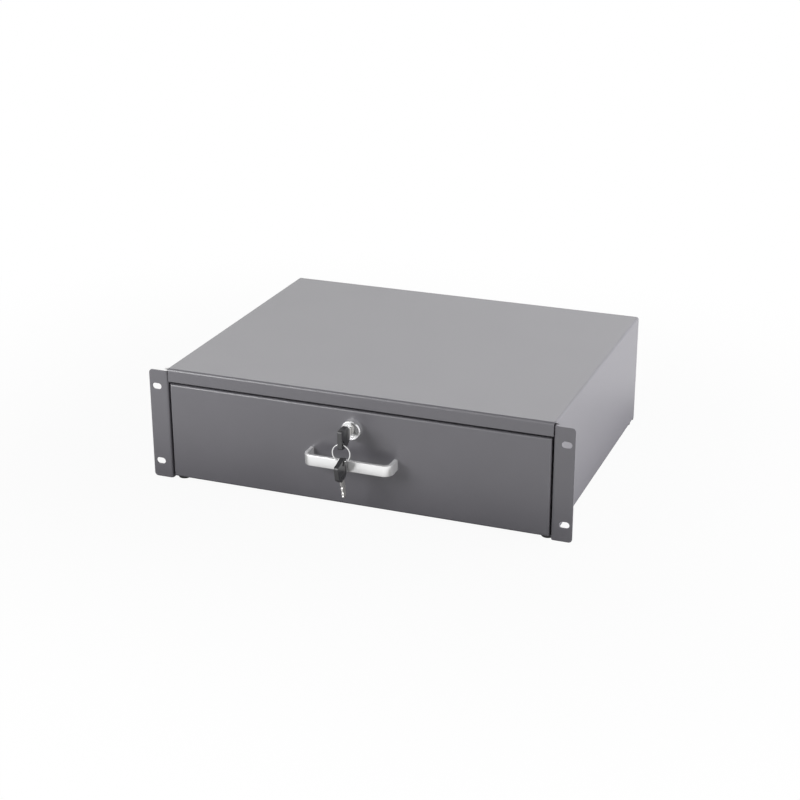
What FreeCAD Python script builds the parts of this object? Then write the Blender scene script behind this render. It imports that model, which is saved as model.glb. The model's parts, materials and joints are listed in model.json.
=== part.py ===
import FreeCAD, Part
import math
import os

from FreeCAD import Vector

# Sliding rack drawer: a folded steel housing with rack ears, a drawer on two
# three-part ball-bearing slides, a bar handle and a cam lock with two keys.
# Millimetres. +X right, +Y to the rear, +Z up. The origin is the centre of the
# four ear slots, on the back faces of the ears where they meet the rack rails.

# ---- Rack: 19-inch panel, three units high ----
panel_width = 482.6
ear_width = 21.3              # from the housing's side to the panel's end
ear_height = 127.0
slot_inset = 8.75             # from the panel's end to the middle of a slot
slot_pitch_z = 88.9
slot_length = 11.0
slot_width = 7.0
ear_corner_radius = 4.0

# ---- Housing ----
housing_sheet = 1.5
housing_fold = 1.5            # inside radius of its folds
body_depth = 350.0
lip_height = 15.0             # front lip, down from the top
lip_end_gap = 0.3             # from the lip's ends to the side walls' inner planes
bottom_flange_width = 18.0
flange_setback = 6.0          # bottom flanges start this far behind the ears
rear_flange_setback = 5.0
relief_width = 1.5            # saw-cut width at the ends of a fold
side_corner_radius = 4.0      # lower rear corner of a side wall
back_flange_depth = 12.0
back_flange_gap = 1.0         # from the back panel's lower flange to the housing's bottom flanges
brace_width = 40.0
brace_inset = 60.0            # from the housing's front and rear to a brace's middle
strike_width = 40.0
strike_foot = 20.0            # strike's welded leg, along the top panel
strike_drop = 13.0            # strike's hanging leg
strike_gap = 0.7              # from the strike's hanging leg to the lock's cam

# ---- Rubber feet ----
foot_radius = 7.0
foot_height = 3.0
foot_inset_x = 8.5            # from the side wall to a foot's middle
foot_inset_y = 13.0
foot_stem_radius = 2.5
foot_cap_radius = 3.4
foot_cap_height = 0.8

# ---- Drawer ----
front_sheet = 1.2
front_fold = 1.3
front_depth = 14.0            # depth of the folded front pan
front_side_gap = 1.8          # to the side wall's inner face
front_top_gap = 2.6           # to the front lip
front_bottom_gap = 2.7        # to the ear's lower end
tray_sheet = 1.0
tray_fold = 1.0
tray_floor_height = 5.0       # underside of the tray above the ear's lower end
tray_below_front_top = 12.4   # tray's rim below the top of the drawer's front
tray_rear_gap = 8.0           # tray to the back panel
hem_height = 10.0
hem_gap = 0.5                 # between the two plies of a hem

# ---- Ball-bearing slides ----
slide_setback = 14.0          # slides start this far behind the ears
slide_rear_gap = 16.0         # and end this far from the housing's rear
travel_shortfall = 20.0       # the drawer's travel is this much less than the slides' length
slide_height_in_tray = 45.0   # slide's centre line above the tray's underside
slide_section = 45.0          # overall height of the outer member
slide_steel = 1.2
slide_fold = 1.0
bracket_thickness = 2.0
bracket_height = 56.0
middle_shortfall = 10.0       # middle member is this much shorter than the slide
middle_flange_thickness = 2.4
ball_radius = 2.0
race_clearance = 0.3
flange_over_ball = 1.5        # flange's inner face above the middle of the balls
cage_steel = 0.4
cage_arm_thickness = 0.6
member_gap = 0.4              # between webs that slide past each other
inner_lip_land = 0.1          # from the inner member's lips to the edge of their races
middle_lip_land = 0.9         # from the middle flanges' edges to the edge of their races
inner_web_gap = 1.1           # from the middle flanges' edges to the inner member's web
cage_end_margin = 5.0
cage_end_land = 20.0          # from a cage's end to its first ball
ball_pocket_clearance = 0.15
balls_per_row = 3
stop_tab_height = 12.0
slide_screw_radius = 2.0
slide_screw_head_radius = 3.6
slide_screw_inset = 35.0
screws_per_slide = 2
button_head_radius = 3.8
button_head_height = 2.0

# ---- Handle ----
handle_hole_pitch = 96.0
handle_bar_height = 12.4
handle_bar_thickness = 4.5
handle_projection = 22.0
handle_bend_radius = 10.0     # outside radius
handle_edge_bevel = 0.4
handle_screw_radius = 1.5
handle_screw_head_radius = 2.8
handle_screw_bite = 8.0

# ---- Fixings between the drawer's front and its tray ----
stud_radius = 2.0
stud_length = 8.0
stud_inset_x = 66.0
stud_inset_z = 16.0
nut_flats = 7.0
nut_height = 3.2
hole_clearance = 0.2

# ---- Cam lock ----
lock_below_front_top = 20.5
bezel_radius = 11.0
bezel_height = 8.0
bezel_chamfer = 1.0
bezel_recess_radius = 8.8
bezel_recess_depth = 0.6
barrel_radius = 9.5
barrel_flats = 16.0
barrel_length = 17.5          # behind the drawer's front face
plug_radius = 6.0
plug_clearance = 0.1
plug_sink = 0.2               # plug's face below the floor of the bezel's recess
keyway_clearance = 0.3
lock_nut_flats = 24.0
lock_nut_height = 5.0
drive_square = 8.0
cam_running_gap = 0.4
cam_thickness = 2.5
cam_length = 32.0
cam_width = 14.0
cam_hub_radius = 9.0
cam_washer_radius = 6.0
cam_washer_thickness = 1.0
cam_screw_radius = 2.0
cam_screw_head_radius = 3.8
cam_screw_head_height = 2.6
cam_screw_bite = 8.0
thread_clearance = 0.05
thread_end = 0.5              # a blind thread runs this far past its screw

# ---- Keys and their ring ----
blade_thickness = 2.0
blade_width = 7.5
blade_length = 24.0
blade_tip_width = 2.25
blade_in_lock = 17.0
tang_length = 10.0
bow_length = 22.0
bow_half_width = 11.0
neck_half_width = 5.5
neck_length = 6.0
bow_thickness = 5.0
bow_corner_radius = 3.0
bow_panel_depth = 0.6
bow_panel_margin = 3.2
bow_hole_land = 1.0           # between the sunk panel and the hole for the ring
bow_hole_radius = 2.8
bow_hole_from_end = 4.0
bow_hole_offset = 4.0         # from the blade's middle line
ring_outer_radius = 10.5
ring_wire_radius = 0.7
ring_seat_gap = 0.3
ring_facets = 24              # straight facets round the ring
ring_sides = 6                # sides of its wire
spare_tilt = 14.0             # degrees, tip of the hanging spare key towards the drawer
cut_depths = (1.4, 2.2, 1.0, 1.8)
cut_pitch = 3.4
cut_floor = 1.4               # flat at the bottom of a cut, between its 45-degree sides
first_cut = 2.4               # from the tip's bevel to the first cut's middle

# ---- How shapes are made ----
over = 1.0                    # a cutter runs this far past the face that it cuts
hair = 1e-6                   # lengths below this count as nothing
pin_sides = 10                # sides of small screws, studs and their holes
round_sides = 20              # sides of larger plain rounds: feet, washer, cam and lock nut
ball_meridians = 8
ball_bands = 4

# ---- Levels that follow from the sizes above ----
body_width = panel_width - 2 * ear_width
slot_pitch_x = panel_width - 2 * slot_inset
slide_length = body_depth - slide_setback - slide_rear_gap
drawer_travel = slide_length - travel_shortfall
top_z = ear_height / 2 + housing_fold + housing_sheet
bottom_z = -ear_height / 2
face_y = -housing_sheet
wall_x = body_width / 2 - housing_sheet
roof_z = top_z - housing_sheet
lip_z = top_z - lip_height

front_half_width = wall_x - front_side_gap
front_top_z = lip_z - front_top_gap
front_bottom_z = bottom_z + front_bottom_gap
front_inner_y = face_y + front_sheet

bracket_x = wall_x - bracket_thickness
tray_bottom_z = bottom_z + tray_floor_height
tray_top_z = front_top_z - tray_below_front_top
tray_wall_y = front_inner_y + tray_sheet
tray_rear_y = body_depth - housing_sheet - tray_rear_gap
slide_z = tray_bottom_z + slide_height_in_tray

# Across a slide, u runs from the bracket towards the tray and v up from its middle.
race_radius = ball_radius + race_clearance
outer_ball_v = slide_section / 2 - slide_steel - race_radius
outer_flange_v = outer_ball_v + flange_over_ball
middle_top_v = outer_ball_v - flange_over_ball
middle_under_v = middle_top_v - middle_flange_thickness
inner_ball_v = middle_under_v - flange_over_ball
inner_top_v = inner_ball_v - flange_over_ball
outer_cage_u = slide_steel + member_gap
middle_web_u = outer_cage_u + cage_steel + member_gap
inner_cage_u = middle_web_u + slide_steel + member_gap
inner_lip_u = inner_cage_u + cage_steel + member_gap
ball_u = inner_lip_u + race_radius + inner_lip_land
middle_lip_u = ball_u + race_radius + middle_lip_land
inner_web_u = middle_lip_u + inner_web_gap
slide_width = inner_web_u + slide_steel
tray_half_width = bracket_x - slide_width
cage_lip_u = ball_u + ball_radius + ball_pocket_clearance + cage_arm_thickness
middle_length = slide_length - middle_shortfall
cage_length = middle_length - drawer_travel / 2 - 2 * cage_end_margin
cage_y = slide_setback + drawer_travel / 4 + cage_end_margin

handle_z = (front_top_z + front_bottom_z) / 2
lock_z = front_top_z - lock_below_front_top
bezel_y = face_y - bezel_height
barrel_end_y = face_y + barrel_length
plug_y = bezel_y + bezel_recess_depth + plug_sink
cam_y = barrel_end_y + cam_running_gap
cam_rear_y = cam_y + cam_thickness
strike_y = cam_y - strike_gap - housing_sheet

bow_y = bezel_y - (blade_length - blade_in_lock)
ring_mid_radius = ring_outer_radius - ring_wire_radius
ring_y = bow_y - (bow_length - bow_hole_from_end)
ring_sag = ring_mid_radius - math.sqrt(ring_mid_radius**2 - (bow_thickness / 2) ** 2)
ring_seat = bow_hole_radius - ring_wire_radius - ring_sag - ring_seat_gap
key_hole_z = lock_z - bow_hole_offset
ring_top_z = key_hole_z - ring_seat
ring_bottom_z = ring_top_z - 2 * ring_mid_radius
spare_hole_z = ring_bottom_z - ring_seat

X = Vector(1, 0, 0)
Y = Vector(0, 1, 0)
Z = Vector(0, 0, 1)
ORIGIN = Vector(0, 0, 0)


# ---- Shapes that several pieces share ----
def block(x0, x1, y0, y1, z0, z1):
    return Part.makeBox(x1 - x0, y1 - y0, z1 - z0, Vector(x0, y0, z0))


def rod(radius, start, axis, length):
    return Part.makeCylinder(radius, length, start, axis)


def mirrored(shape):
    """The same piece on the other side of the drawer."""
    return shape.mirror(ORIGIN, X)


def fused(shapes):
    """One clean solid from pieces that touch or overlap."""
    return shapes[0].multiFuse(shapes[1:]).removeSplitter()


def group(solids):
    return Part.makeCompound(solids)


def left_of(direction):
    return Vector(-direction.y, direction.x, 0)


def fold_arcs(before, corner, after, sheet, fold):
    """Start, middle and end of a fold's arc, on the path and on the sheet's far face."""
    run_in = (corner - before).normalize()
    run_out = (after - corner).normalize()
    turn = run_in.getAngle(run_out)
    turns_left = run_in.cross(run_out).z > 0
    near_radius = fold + sheet if turns_left else fold
    far_radius = fold if turns_left else fold + sheet
    side = 1 if turns_left else -1
    setback = near_radius * math.tan(turn / 2)
    start = corner - run_in * setback
    end = corner + run_out * setback
    centre = start + left_of(run_in) * near_radius * side
    outward = (corner - centre).normalize()
    near = (start, centre + outward * near_radius, end)
    far = (
        start + left_of(run_in) * sheet,
        centre + outward * far_radius,
        end + left_of(run_out) * sheet,
    )
    return near, far


def folded_face(corners, sheet, fold):
    """Section of a folded sheet in the plane (u, v), on the left of a path through corners.

    A corner is (u, v), or (u, v, fold) where its inside radius is unlike the rest.
    """
    points = [Vector(corner[0], corner[1], 0) for corner in corners]
    folds = [corner[2] if len(corner) > 2 else fold for corner in corners]
    first = left_of((points[1] - points[0]).normalize()) * sheet
    last = left_of((points[-1] - points[-2]).normalize()) * sheet
    near_side = [(points[0],)]
    far_side = [(points[0] + first,)]
    for i in range(1, len(points) - 1):
        near, far = fold_arcs(points[i - 1], points[i], points[i + 1], sheet, folds[i])
        near_side.append(near)
        far_side.append(far)
    near_side.append((points[-1],))
    far_side.append((points[-1] + last,))
    outline = near_side + [stretch[::-1] for stretch in far_side[::-1]]
    edges = []
    here = outline[-1][-1]
    for stretch in outline:
        if here.distanceToPoint(stretch[0]) > hair:
            edges.append(Part.makeLine(here, stretch[0]))
        if len(stretch) == 3:
            edges.append(Part.Arc(*stretch).toShape())
        here = stretch[-1]
    return Part.Face(Part.Wire(edges))


def stand_up(shape, plane):
    """Turns the plane (u, v) into xz or yz; xy stays as it is."""
    if plane == "xz":
        shape.rotate(ORIGIN, X, 90)
    elif plane == "yz":
        shape.rotate(ORIGIN, Vector(1, 1, 1), 120)
    return shape


def folded_sheet(plane, corners, start, end, sheet, fold):
    """A folded sheet that runs from start to end across its plane."""
    face = stand_up(folded_face(corners, sheet, fold), plane)
    across = {"xy": Z, "xz": Y, "yz": X}[plane]
    face.translate(across * start)
    return face.extrude(across * (end - start))


def slot_hole(x, z, length, width, y0, y1):
    """An obround cutter along Y, long in X."""
    half = (length - width) / 2
    ends = [rod(width / 2, Vector(x + dx, y0, z), Y, y1 - y0) for dx in (-half, half)]
    middle = block(x - half, x + half, y0, y1, z - width / 2, z + width / 2)
    return fused([middle] + ends)


def polygon_ring(sides, radius, centre, axis):
    """Closed regular polygon round an axis, its first corner up, or to the right round Z."""
    u = X if abs(axis.z) > 0.5 else Z
    v = axis.cross(u)
    turns = [2 * math.pi * i / sides for i in range(sides)]
    corners = [centre + u * (radius * math.cos(a)) + v * (radius * math.sin(a)) for a in turns]
    return Part.makePolygon(corners + corners[:1])


def prism(sides, radius, start, axis, length):
    return Part.Face(polygon_ring(sides, radius, start, axis)).extrude(axis * length)


def hexagon(flats, start, axis, height):
    return prism(6, flats / math.sqrt(3), start, axis, height)


def pin(radius, start, axis, length):
    """A small round bar or hole, many-sided to keep the mesh of what repeats light."""
    return prism(pin_sides, radius, start, axis, length)


def rounded_front_box(half_width, y0, y1, z0, z1, radius):
    """A box whose four front edges are rounded, as a folded and dressed pan is."""
    box = block(-half_width, half_width, y0, y1, z0, z1)
    front = [e for e in box.Edges if all(abs(v.Y - y0) < hair for v in e.Vertexes)]
    return box.makeFillet(radius, front)


# ---- Housing ----
def side_tail(x0, x1):
    """Lower strip of a side wall, below the fold of the bottom flange, at both ends."""
    fold_z = bottom_z + housing_fold + housing_sheet
    front_end = flange_setback - relief_width
    rear_start = body_depth - rear_flange_setback + relief_width
    front = block(x0, x1, housing_fold, front_end, bottom_z, fold_z)
    rear = block(x0, x1, rear_start, body_depth, bottom_z, fold_z)
    return [front, rear]


def rear_corner_cutter():
    """Rounds the lower rear corners of both side walls."""
    r = side_corner_radius
    low_z = bottom_z - over
    corner = block(-body_width, body_width, body_depth - r, body_depth + over, low_z, bottom_z + r)
    round_end = rod(r, Vector(-body_width, body_depth - r, bottom_z + r), X, 2 * body_width)
    return corner.cut(round_end)


def housing_shell():
    half = body_width / 2
    flange_tip = half - bottom_flange_width
    wrap_path = [
        (flange_tip, bottom_z),
        (half, bottom_z),
        (half, top_z),
        (-half, top_z),
        (-half, bottom_z),
        (-flange_tip, bottom_z),
    ]
    wrap = folded_sheet("xz", wrap_path, housing_fold, body_depth, housing_sheet, housing_fold)
    fold_z = bottom_z + housing_fold + housing_sheet
    front_relief = block(-half - over, half + over, 0, flange_setback, bottom_z - over, fold_z)
    rear_y = body_depth - rear_flange_setback
    rear_relief = block(-half - over, half + over, rear_y, body_depth + over, bottom_z - over, fold_z)
    wrap = wrap.cut([front_relief, rear_relief])
    lip_half = wall_x - lip_end_gap
    lip_path = [(housing_fold + over, top_z), (face_y, top_z), (face_y, lip_z)]
    lip = folded_sheet("yz", lip_path, -lip_half, lip_half, housing_sheet, housing_fold)
    ear_path = [(panel_width / 2, 0), (half, 0), (half, housing_fold + over)]
    ear = folded_sheet("xy", ear_path, bottom_z, -bottom_z, housing_sheet, housing_fold)
    corners = [
        e
        for e in ear.Edges
        if all(abs(v.X - panel_width / 2) < hair for v in e.Vertexes)
        and abs(e.Vertexes[0].Y - e.Vertexes[1].Y) > hair
    ]
    ear = ear.makeFillet(ear_corner_radius, corners)
    strips = side_tail(wall_x, half)
    right = [ear] + strips
    left = [mirrored(piece) for piece in right]
    shell = fused([wrap, lip] + right + left)
    cutters = [rear_corner_cutter()]
    for sx in (-1, 1):
        for sz in (-1, 1):
            x = sx * slot_pitch_x / 2
            z = sz * slot_pitch_z / 2
            cutters.append(slot_hole(x, z, slot_length, slot_width, face_y - over, over))
    for x, y in foot_places():
        cutters.append(pin(foot_stem_radius, Vector(x, y, bottom_z - over), Z, housing_sheet + 2 * over))
    return shell.cut(cutters)


def back_panel():
    """Rear wall, folded forward along its edges and spot-welded inside the housing."""
    fold_out = housing_fold + housing_sheet
    flange_y = body_depth - back_flange_depth
    flat_x = wall_x - fold_out
    low_x = body_width / 2 - bottom_flange_width - back_flange_gap
    low_z = bottom_z + fold_out
    top_path = [(body_depth, low_z), (body_depth, roof_z), (flange_y, roof_z)]
    top = folded_sheet("yz", top_path, -flat_x, flat_x, housing_sheet, housing_fold)
    low_path = [(flange_y, bottom_z), (body_depth, bottom_z), (body_depth, 0)]
    low = folded_sheet("yz", low_path, -low_x, low_x, housing_sheet, housing_fold)
    side_path = [(wall_x, flange_y), (wall_x, body_depth), (0, body_depth)]
    side = folded_sheet("xy", side_path, low_z, roof_z - fold_out, housing_sheet, housing_fold)
    return fused([top, low, side, mirrored(side)])


def bottom_braces():
    """Two flat straps across the open underside, welded on top of the bottom flanges."""
    half = wall_x - 2 * housing_sheet
    z0 = bottom_z + housing_sheet
    straps = []
    for middle in (brace_inset, body_depth - brace_inset):
        y0 = middle - brace_width / 2
        straps.append(block(-half, half, y0, y0 + brace_width, z0, z0 + housing_sheet))
    return group(straps)


def lock_strike():
    """Angle under the top panel that the lock's cam turns up behind."""
    path = [(strike_y + strike_foot, roof_z), (strike_y, roof_z), (strike_y, roof_z - strike_drop)]
    half = strike_width / 2
    return folded_sheet("yz", path, -half, half, housing_sheet, housing_fold)


def foot_places():
    x = body_width / 2 - foot_inset_x
    return [(sx * x, y) for sx in (-1, 1) for y in (foot_inset_y, body_depth - foot_inset_y)]


def rubber_feet():
    """Push-in feet: a pad below the flange, a stem through it and a cap that holds it."""
    feet = []
    for x, y in foot_places():
        pad = prism(round_sides, foot_radius, Vector(x, y, bottom_z - foot_height), Z, foot_height)
        stem = pin(foot_stem_radius, Vector(x, y, bottom_z), Z, housing_sheet)
        cap = pin(foot_cap_radius, Vector(x, y, bottom_z + housing_sheet), Z, foot_cap_height)
        feet.append(fused([pad, stem, cap]))
    return group(feet)


# ---- Slides: the right-hand ones; the left-hand ones are mirrored ----
def slide_point(u, v, y):
    return Vector(bracket_x - u, y, slide_z + v)


def slide_block(u0, u1, v0, v1, y0, y1):
    return block(bracket_x - u1, bracket_x - u0, y0, y1, slide_z + v0, slide_z + v1)


def race(radius, v, y0, y1):
    """A long round bar on the line of a row of balls, to shape or cut a race."""
    return rod(radius, slide_point(ball_u, v, y0), Y, y1 - y0)


def channel(u_lip, u_web, v, y0, y1):
    """A C-section of slide steel, lying inside its outline, with its web at u_web."""
    toward_tray = u_lip > u_web
    path = [(u_lip, -v), (u_web, -v), (u_web, v), (u_lip, v)]
    if toward_tray:
        path.reverse()
    face = folded_face(path, slide_steel, slide_fold)
    face = stand_up(face, "xz")
    shape = face.extrude(Y * (y1 - y0))
    shape = mirrored(shape)
    shape.translate(slide_point(0, 0, y0))
    return shape


def slide_screw_places():
    step = (slide_length - 2 * slide_screw_inset) / (screws_per_slide - 1)
    first = slide_setback + slide_screw_inset
    return [first + i * step for i in range(screws_per_slide)]


def slide_bracket():
    """Threaded plate between the housing's wall and the outer member."""
    half = bracket_height / 2
    plate = slide_block(-bracket_thickness, 0, -half, half, slide_setback, slide_setback + slide_length)
    radius = slide_screw_radius + thread_clearance
    length = bracket_thickness + 2 * over
    holes = [pin(radius, slide_point(over, 0, y), X, length) for y in slide_screw_places()]
    return plate.cut(holes)


def countersunk_screw(y):
    """Flush screw through the outer member's web into the bracket."""
    seat = slide_point(slide_steel, 0, y)
    wide = polygon_ring(pin_sides, slide_screw_head_radius, seat, X)
    narrow = polygon_ring(pin_sides, slide_screw_radius, seat + X * slide_steel, X)
    head = Part.makeLoft([wide, narrow], True, True)
    shank = pin(slide_screw_radius, seat, X, slide_steel + bracket_thickness)
    return fused([head, shank])


def outer_slide():
    y0 = slide_setback
    y1 = slide_setback + slide_length
    flange_outer_v = outer_flange_v + slide_steel
    body = channel(middle_lip_u, 0, flange_outer_v, y0, y1)
    bulges = []
    grooves = []
    for sv in (-1, 1):
        bulge = race(race_radius + slide_steel, sv * outer_ball_v, y0, y1)
        low = min(sv * outer_flange_v, sv * slide_section / 2)
        high = max(sv * outer_flange_v, sv * slide_section / 2)
        bulges.append(bulge.common(slide_block(0, slide_width, low, high, y0, y1)))
        grooves.append(race(race_radius, sv * outer_ball_v, y0, y1))
    half_tab = stop_tab_height / 2
    tab = slide_block(slide_steel / 2, middle_lip_u, -half_tab, half_tab, y1 - slide_steel, y1)
    body = fused([body] + bulges + [tab])
    holes = [countersunk_screw(y) for y in slide_screw_places()]
    return body.cut(grooves + holes)


def middle_slide():
    """Web with two thick flanges, a ball race along each face of each flange."""
    y0 = slide_setback
    y1 = slide_setback + middle_length
    web = slide_block(middle_web_u, middle_web_u + slide_steel, -middle_top_v, middle_top_v, y0, y1)
    flanges = [
        slide_block(middle_web_u, middle_lip_u, middle_under_v, middle_top_v, y0, y1),
        slide_block(middle_web_u, middle_lip_u, -middle_top_v, -middle_under_v, y0, y1),
    ]
    grooves = [race(race_radius, sv * v, y0, y1) for sv in (-1, 1) for v in (outer_ball_v, inner_ball_v)]
    return fused([web] + flanges).cut(grooves)


def inner_slide():
    y0 = slide_setback
    y1 = slide_setback + slide_length
    body = channel(inner_lip_u, slide_width, inner_top_v, y0, y1)
    bulges = []
    grooves = []
    for sv in (-1, 1):
        bulge = race(race_radius + slide_steel, sv * inner_ball_v, y0, y1)
        low = min(0, sv * inner_top_v)
        high = max(0, sv * inner_top_v)
        bulges.append(bulge.common(slide_block(inner_lip_u, slide_width, low, high, y0, y1)))
        grooves.append(race(race_radius, sv * inner_ball_v, y0, y1))
    radius = slide_screw_radius + thread_clearance
    length = slide_steel + 2 * over
    holes = [pin(radius, slide_point(slide_width + over, 0, y), X, length) for y in slide_screw_places()]
    return fused([body] + bulges).cut(grooves + holes)


def ball_places(v):
    step = (cage_length - 2 * cage_end_land) / (balls_per_row - 1)
    ys = [cage_y + cage_end_land + i * step for i in range(balls_per_row)]
    return [slide_point(ball_u, sv * v, y) for sv in (-1, 1) for y in ys]


def cage(u_web, v):
    """Thin channel whose two arms hold the balls in square pockets."""
    y0 = cage_y
    y1 = cage_y + cage_length
    arm = v + cage_arm_thickness / 2
    low_arm = v - cage_arm_thickness / 2
    web = slide_block(u_web, u_web + cage_steel, -arm, arm, y0, y1)
    upper = slide_block(u_web, cage_lip_u, low_arm, arm, y0, y1)
    lower = slide_block(u_web, cage_lip_u, -arm, -low_arm, y0, y1)
    half = ball_radius + ball_pocket_clearance
    corner = Vector(half, half, half)
    pockets = [Part.makeBox(2 * half, 2 * half, 2 * half, place - corner) for place in ball_places(v)]
    return fused([web, upper, lower]).cut(pockets)


def ball(centre):
    """A bearing ball with flat facets, which keeps its mesh light."""
    rings = []
    for i in range(1, ball_bands):
        height = ball_radius * math.cos(math.pi * i / ball_bands)
        spread = ball_radius * math.sin(math.pi * i / ball_bands)
        turns = [2 * math.pi * (j + 0.5 * (i % 2)) / ball_meridians for j in range(ball_meridians)]
        rings.append([centre + Vector(spread * math.cos(a), spread * math.sin(a), height) for a in turns])
    faces = []
    top = centre + Z * ball_radius
    bottom = centre - Z * ball_radius
    for j in range(ball_meridians):
        k = (j + 1) % ball_meridians
        faces.append((top, rings[0][j], rings[0][k]))
        faces.append((bottom, rings[-1][k], rings[-1][j]))
        for i in range(len(rings) - 1):
            upper, lower = rings[i], rings[i + 1]
            if i % 2 == 0:
                faces.append((upper[j], lower[k], upper[k]))
                faces.append((upper[j], lower[j], lower[k]))
            else:
                faces.append((upper[j], lower[j], upper[k]))
                faces.append((lower[j], lower[k], upper[k]))
    shell = Part.makeShell([Part.Face(Part.makePolygon(list(f) + [f[0]])) for f in faces])
    return Part.makeSolid(shell)


def ball_row_pair(v):
    return group([ball(place) for place in ball_places(v)])


def outer_slide_screws():
    right = [countersunk_screw(y) for y in slide_screw_places()]
    return group(right + [mirrored(screw) for screw in right])


def inner_slide_screws():
    """Button-head screws from inside the tray into the inner members' webs."""
    right = []
    for y in slide_screw_places():
        seat = slide_point(slide_width + tray_sheet, 0, y)
        head = pin(button_head_radius, seat - X * button_head_height, X, button_head_height)
        shank = pin(slide_screw_radius, seat, X, tray_sheet + slide_steel)
        right.append(fused([head, shank]))
    return group(right + [mirrored(screw) for screw in right])


# ---- Drawer ----
def stud_places():
    x = front_half_width - stud_inset_x
    heights = (tray_bottom_z + stud_inset_z, tray_top_z - stud_inset_z)
    return [(sx * x, z) for sx in (-1, 1) for z in heights]


def handle_screw_places():
    return [(sx * handle_hole_pitch / 2, handle_z) for sx in (-1, 1)]


def lock_hole(y0, y1, gap):
    """Round hole with two flats that stops the lock from turning."""
    hole = rod(barrel_radius + gap, Vector(0, y0, lock_z), Y, y1 - y0)
    half = barrel_flats / 2 + gap
    reach = 2 * barrel_radius
    return hole.common(block(-half, half, y0, y1, lock_z - reach, lock_z + reach))


def front_holes(y0, y1):
    holes = [lock_hole(y0, y1, thread_clearance)]
    for x, z in handle_screw_places():
        holes.append(pin(handle_screw_radius + hole_clearance, Vector(x, y0, z), Y, y1 - y0))
    return holes


def drawer_front():
    outer_radius = front_fold + front_sheet
    rear_y = face_y + front_depth
    outer = rounded_front_box(front_half_width, face_y, rear_y, front_bottom_z, front_top_z, outer_radius)
    inner = rounded_front_box(
        front_half_width - front_sheet,
        front_inner_y,
        rear_y + over,
        front_bottom_z + front_sheet,
        front_top_z - front_sheet,
        front_fold,
    )
    return outer.cut([inner] + front_holes(face_y - over, tray_wall_y))


def drawer_tray():
    """Folded tray with hemmed sides and front and rear walls up from its floor."""
    half = tray_half_width
    hem_x = half - 2 * tray_sheet - hem_gap
    hem_z = tray_top_z - hem_height
    hem_fold = hem_gap / 2
    across = [
        (-hem_x, hem_z),
        (-hem_x, tray_top_z, hem_fold),
        (-half, tray_top_z, hem_fold),
        (-half, tray_bottom_z),
        (half, tray_bottom_z),
        (half, tray_top_z, hem_fold),
        (hem_x, tray_top_z, hem_fold),
        (hem_x, hem_z),
    ]
    sides = folded_sheet("xz", across, front_inner_y, tray_rear_y, tray_sheet, tray_fold)
    fold_out = tray_fold + tray_sheet
    along = [
        (front_inner_y, tray_top_z),
        (front_inner_y, tray_bottom_z),
        (tray_rear_y, tray_bottom_z),
        (tray_rear_y, tray_top_z),
    ]
    flat_x = half - fold_out
    ends = folded_sheet("yz", along, -flat_x, flat_x, tray_sheet, tray_fold)
    low_z = tray_bottom_z + fold_out
    under = block(-half, half, front_inner_y, front_inner_y + fold_out, tray_bottom_z, low_z)
    under_rear = block(-half, half, tray_rear_y - fold_out, tray_rear_y, tray_bottom_z, low_z)
    sides = sides.cut([under, under_rear])
    wide_x = half - tray_sheet
    front_wall = block(-wide_x, wide_x, front_inner_y, tray_wall_y, low_z, hem_z)
    rear_wall = block(-wide_x, wide_x, tray_rear_y - tray_sheet, tray_rear_y, low_z, hem_z)
    tray = fused([sides, ends, front_wall, rear_wall])
    holes = front_holes(face_y, tray_wall_y + over)
    through = tray_wall_y + over - face_y
    for x, z in stud_places():
        holes.append(pin(stud_radius + hole_clearance, Vector(x, face_y, z), Y, through))
    for y in slide_screw_places():
        for x in (-half - over, half - tray_sheet - over):
            start = Vector(x, y, slide_z)
            holes.append(pin(slide_screw_radius + hole_clearance, start, X, tray_sheet + 2 * over))
    return tray.cut(holes)


def front_studs():
    """Studs welded behind the front; they carry the tray's front wall."""
    return group([pin(stud_radius, Vector(x, front_inner_y, z), Y, stud_length) for x, z in stud_places()])


def front_nuts():
    nuts = []
    for x, z in stud_places():
        start = Vector(x, tray_wall_y, z)
        nut = hexagon(nut_flats, start, Y, nut_height)
        nuts.append(nut.cut(pin(stud_radius + thread_clearance, start, Y, nut_height)))
    return group(nuts)


def handle():
    """Flat bar bent into a U, its legs ending on the drawer's front."""
    half = (handle_hole_pitch + handle_bar_thickness) / 2
    bar_y = face_y - handle_projection
    path = [(-half, face_y), (-half, bar_y), (half, bar_y), (half, face_y)]
    low = handle_z - handle_bar_height / 2
    inner_radius = handle_bend_radius - handle_bar_thickness
    bar = folded_sheet("xy", path, low, low + handle_bar_height, handle_bar_thickness, inner_radius)
    long_edges = [
        e for e in bar.Edges if not all(abs(v.Y - face_y) < hair for v in e.Vertexes) and flat_edge(e)
    ]
    bar = bar.makeChamfer(handle_edge_bevel, long_edges)
    radius = handle_screw_radius + thread_clearance
    depth = handle_screw_bite + thread_end
    holes = [pin(radius, Vector(x, face_y, z), -Y, depth) for x, z in handle_screw_places()]
    return bar.cut(holes)


def flat_edge(edge):
    """True where an edge stays at one height."""
    box = edge.BoundBox
    return box.ZLength < hair


def handle_screws():
    screws = []
    for x, z in handle_screw_places():
        head = pin(handle_screw_head_radius, Vector(x, tray_wall_y, z), Y, button_head_height)
        reach = tray_wall_y - face_y + handle_screw_bite
        shank = pin(handle_screw_radius, Vector(x, tray_wall_y, z), -Y, reach)
        screws.append(fused([head, shank]))
    return group(screws)


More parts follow.
